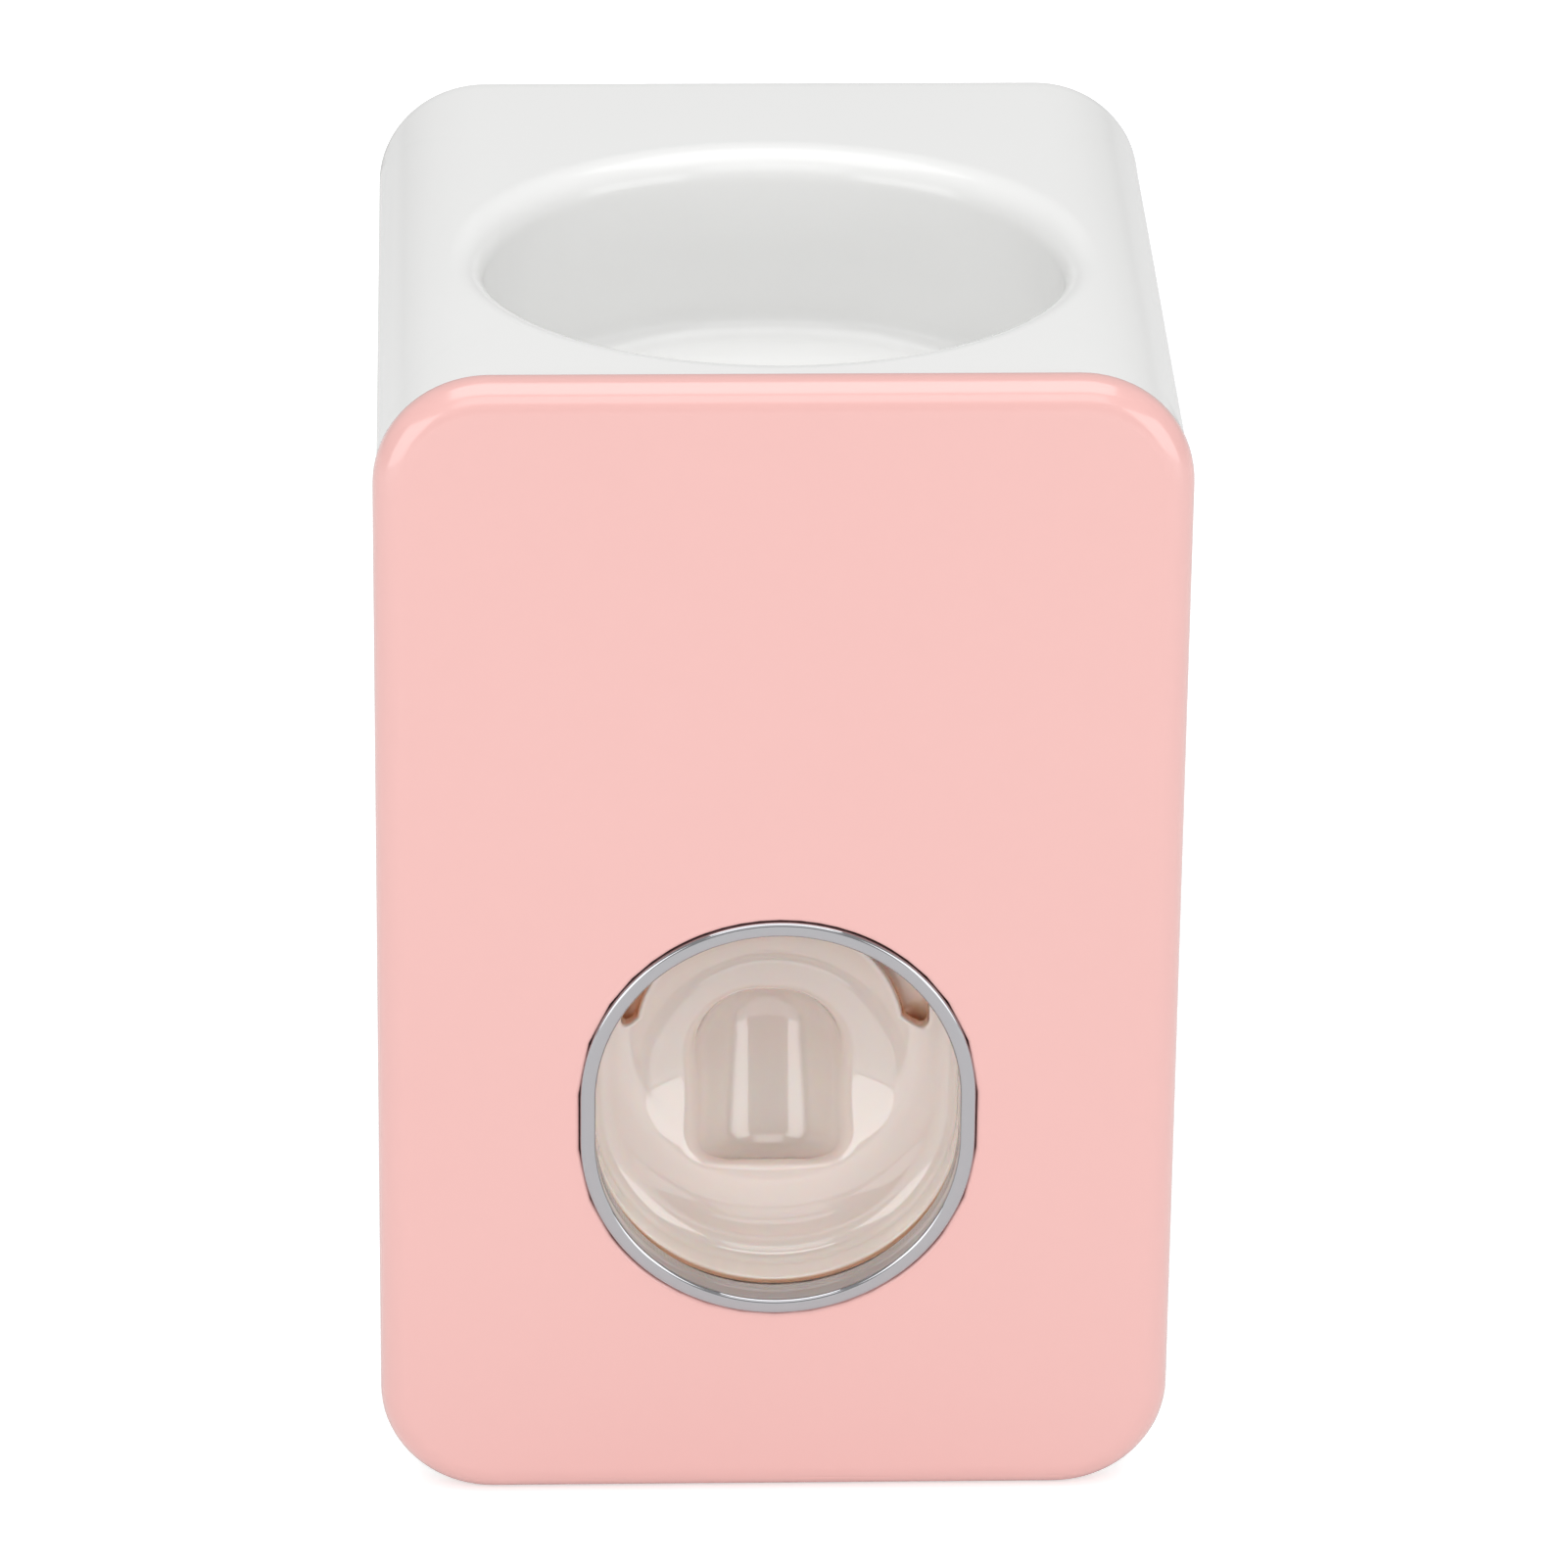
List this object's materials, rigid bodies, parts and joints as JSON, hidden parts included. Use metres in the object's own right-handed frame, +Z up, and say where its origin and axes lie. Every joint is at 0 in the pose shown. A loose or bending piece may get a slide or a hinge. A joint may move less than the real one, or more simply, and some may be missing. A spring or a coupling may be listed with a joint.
{
  "type": "toothpaste dispenser",
  "caption": "Upright box with an oval tube well on top, a glossy front cover and a ringed window where a brush presses a lever that pumps paste.",
  "frame": {"origin": "centre of the base, midway between the window ring's front and the back face", "axes": "+X across, the front faces -Y, +Z up"},
  "size_m": [0.066, 0.0666, 0.1015],
  "materials": {
    "white_abs": "glossy moulded ABS",
    "white_abs_inner": "satin moulded ABS",
    "pink_abs": "high-gloss moulded ABS",
    "chrome_trim": "bright chrome plating",
    "cream_plastic": "glossy, slightly translucent moulded plastic",
    "silicone": "clear-grey silicone",
    "acetal": "satin acetal",
    "spring_steel": "drawn spring wire",
    "pin_steel": "ground steel",
    "screw_steel": "zinc-plated steel"
  },
  "bodies": {
    "housing": {"main_body": "white_abs", "front_plate": "white_abs", "front_cover": "pink_abs", "window_ring": "chrome_trim", "back_cover": "white_abs", "tube_socket": "white_abs", "tube_seal": "silicone", "feed_pipe": "silicone", "outlet_pipe": "silicone", "nozzle": "silicone", "pump_frame": "white_abs_inner", "guide_bush": "acetal", "pump_head": "white_abs_inner", "head_gasket": "silicone", "inlet_valve": "silicone", "outlet_valve": "silicone", "bellows_clamp": "white_abs_inner", "pump_bellows": "silicone", "return_spring": "spring_steel", "hinge_pins": "pin_steel", "frame_screws": "screw_steel", "head_screws": "screw_steel", "back_screws": "screw_steel"},
    "lever": {"push_lever": "cream_plastic"},
    "pusher": {"plunger": "acetal", "bellows_plate": "acetal"}
  },
  "joints": [
    {"name": "lever_swing", "type": "hinge", "parent": "housing", "child": "lever", "pos_m": [0, -0.024, 0.06], "axis": [1, 0, 0], "range_deg": [0, 12], "stiffness_Nm_per_rad": 0.5, "springref_deg": -11.46},
    {"name": "plunger_slide", "type": "slide", "parent": "housing", "child": "pusher", "axis": [0, 1, 0], "range_m": [0, 0.005], "deforming": ["pump_bellows", "return_spring"]}
  ],
  "couplings": [
    {"joint": "plunger_slide", "follows": "lever_swing", "m_per_rad": 0.02352}
  ]
}
